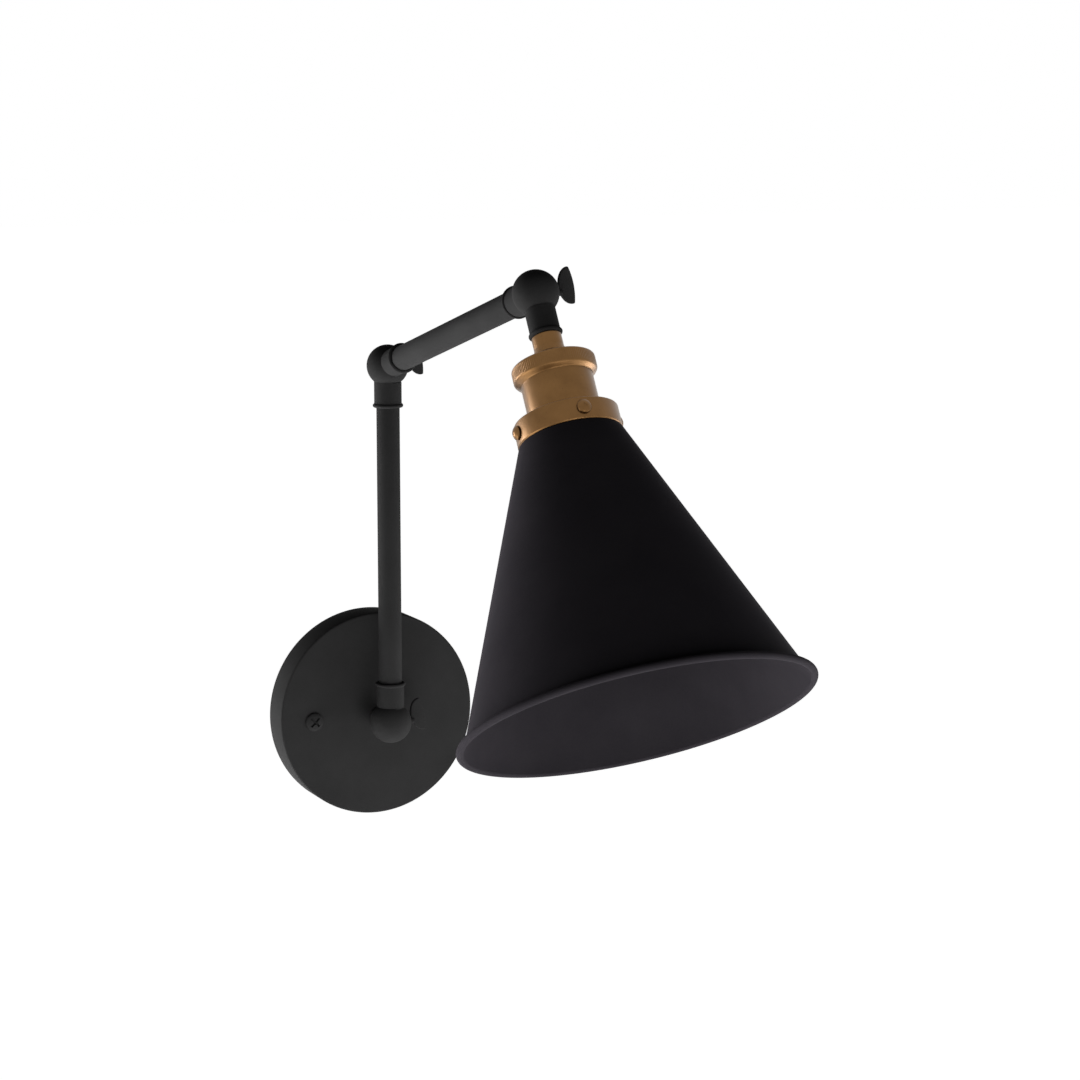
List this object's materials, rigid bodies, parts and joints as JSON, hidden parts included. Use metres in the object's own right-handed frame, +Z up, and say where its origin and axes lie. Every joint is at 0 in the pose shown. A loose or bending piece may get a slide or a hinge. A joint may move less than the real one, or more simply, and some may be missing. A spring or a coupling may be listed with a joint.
{
  "type": "swing arm wall sconce",
  "caption": "Wall sconce with a round plate, jointed tube arms on ball knuckles with wing screws, a brass socket and a conical metal shade.",
  "frame": {"origin": "centre of the wall bracket's back face, which is also the centre of the round wall plate's open back, on the wall", "axes": "+Z up along the wall; +Y into the wall, so the arms and the shade reach out along -Y; +X to the right of someone who faces the wall"},
  "size_m": [0.1868, 0.4478, 0.3513],
  "materials": {
    "powder_coat_black": "matte powder coat",
    "antique_brass": "satin antique brass",
    "zinc_steel": "zinc plate",
    "porcelain": "glazed porcelain",
    "fibre": "vulcanised fibre",
    "green": "green dye",
    "connector_orange": "moulded plastic",
    "connector_green": "moulded plastic",
    "insulation_black": "vinyl insulation",
    "insulation_white": "vinyl insulation",
    "insulation_green": "vinyl insulation"
  },
  "bodies": {
    "wall_plate": {"backplate": "powder_coat_black", "wall_bracket": "zinc_steel", "plate_screw": "powder_coat_black", "ground_screw": "green", "hot_wire_connector": "connector_orange", "neutral_wire_connector": "connector_orange", "ground_wire_connector": "connector_green", "hot_plate_lead": "insulation_black", "neutral_plate_lead": "insulation_white", "ground_plate_lead": "insulation_green"},
    "swivel_base": {"base_knuckle_wall_half": "powder_coat_black", "swivel_flat_washer": "zinc_steel", "swivel_tooth_washer": "zinc_steel", "swivel_locknut": "zinc_steel", "base_friction_washer": "fibre"},
    "base_wing": {"base_wing_screw": "powder_coat_black"},
    "lower_arm": {"base_knuckle_arm_half": "powder_coat_black", "lower_tube": "powder_coat_black", "middle_knuckle_lower_half": "powder_coat_black", "lower_arm_cable": "insulation_black", "middle_friction_washer": "fibre"},
    "middle_wing": {"middle_wing_screw": "powder_coat_black"},
    "upper_arm": {"middle_knuckle_upper_half": "powder_coat_black", "upper_tube": "powder_coat_black", "head_knuckle_arm_half": "powder_coat_black", "upper_arm_cable": "insulation_black", "head_friction_washer": "fibre"},
    "head_wing": {"head_wing_screw": "powder_coat_black"},
    "lamp_head": {"head_knuckle_head_half": "powder_coat_black", "head_nipple": "zinc_steel", "head_locknut": "zinc_steel", "socket_cap": "antique_brass", "knurled_ring": "antique_brass", "socket_shell": "antique_brass", "socket_insulator": "porcelain", "lamp_screw_shell": "antique_brass", "centre_contact": "antique_brass", "hot_terminal_screw": "zinc_steel", "hot_socket_lead": "insulation_black", "neutral_terminal_screw": "zinc_steel", "neutral_socket_lead": "insulation_white", "fitter_ring": "antique_brass", "fitter_ring_nut": "antique_brass", "shade": "powder_coat_black", "shade_screw_1": "antique_brass", "shade_screw_2": "antique_brass", "shade_screw_3": "antique_brass", "shade_screw_4": "antique_brass"}
  },
  "joints": [
    {"name": "base_swivel", "type": "hinge", "parent": "wall_plate", "child": "swivel_base", "pos_m": [0, -0.0206, -0.0014], "axis": [0, 1, 0], "range_deg": [-80, 80]},
    {"name": "base_knuckle", "type": "hinge", "parent": "swivel_base", "child": "lower_arm", "pos_m": [0, -0.0418, -0.0014], "axis": [1, 0, 0], "range_deg": [-5, 85]},
    {"name": "middle_knuckle", "type": "hinge", "parent": "lower_arm", "child": "upper_arm", "pos_m": [0, -0.0418, 0.2184], "axis": [1, 0, 0], "range_deg": [-60, 20]},
    {"name": "head_knuckle", "type": "hinge", "parent": "upper_arm", "child": "lamp_head", "pos_m": [0, -0.24832, 0.27412], "axis": [1, 0, 0], "range_deg": [-75, 20]},
    {"name": "base_wing_turn", "type": "hinge", "parent": "swivel_base", "child": "base_wing", "pos_m": [0, -0.0418, -0.0014], "axis": [1, 0, 0], "range_deg": [-10, 270]},
    {"name": "middle_wing_turn", "type": "hinge", "parent": "lower_arm", "child": "middle_wing", "pos_m": [0, -0.0418, 0.2184], "axis": [1, 0, 0], "range_deg": [-10, 270]},
    {"name": "head_wing_turn", "type": "hinge", "parent": "upper_arm", "child": "head_wing", "pos_m": [0, -0.24832, 0.27412], "axis": [1, 0, 0], "range_deg": [-10, 270]}
  ]
}
